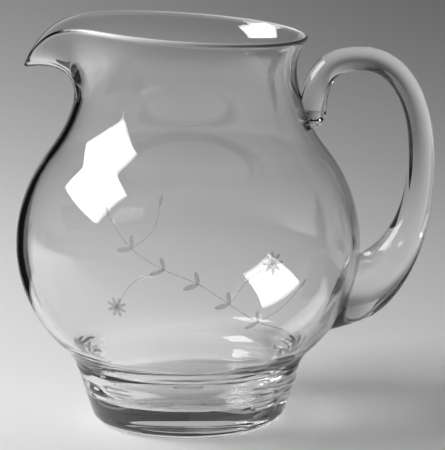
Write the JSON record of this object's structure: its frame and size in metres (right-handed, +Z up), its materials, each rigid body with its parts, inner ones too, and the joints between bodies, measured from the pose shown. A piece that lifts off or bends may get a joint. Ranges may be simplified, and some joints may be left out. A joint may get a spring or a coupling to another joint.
{
  "type": "glass cocktail pitcher",
  "caption": "Round-bellied clear glass pitcher with a pulled pouring lip, a heavy solid base and an applied loop handle, for mixing and pouring drinks.",
  "frame": {"origin": "middle of the flat base, on the axis of the body", "axes": "+Z up along the axis of the body, the pouring lip towards -X and the handle towards +X"},
  "size_m": [0.1797, 0.148, 0.1735],
  "materials": {
    "body_glass": "clear, fire-polished, with a fine cut sprig on the belly",
    "handle_glass": "clear, fire-polished"
  },
  "bodies": {
    "root": {"body": "body_glass", "handle": "handle_glass"}
  },
  "joints": []
}
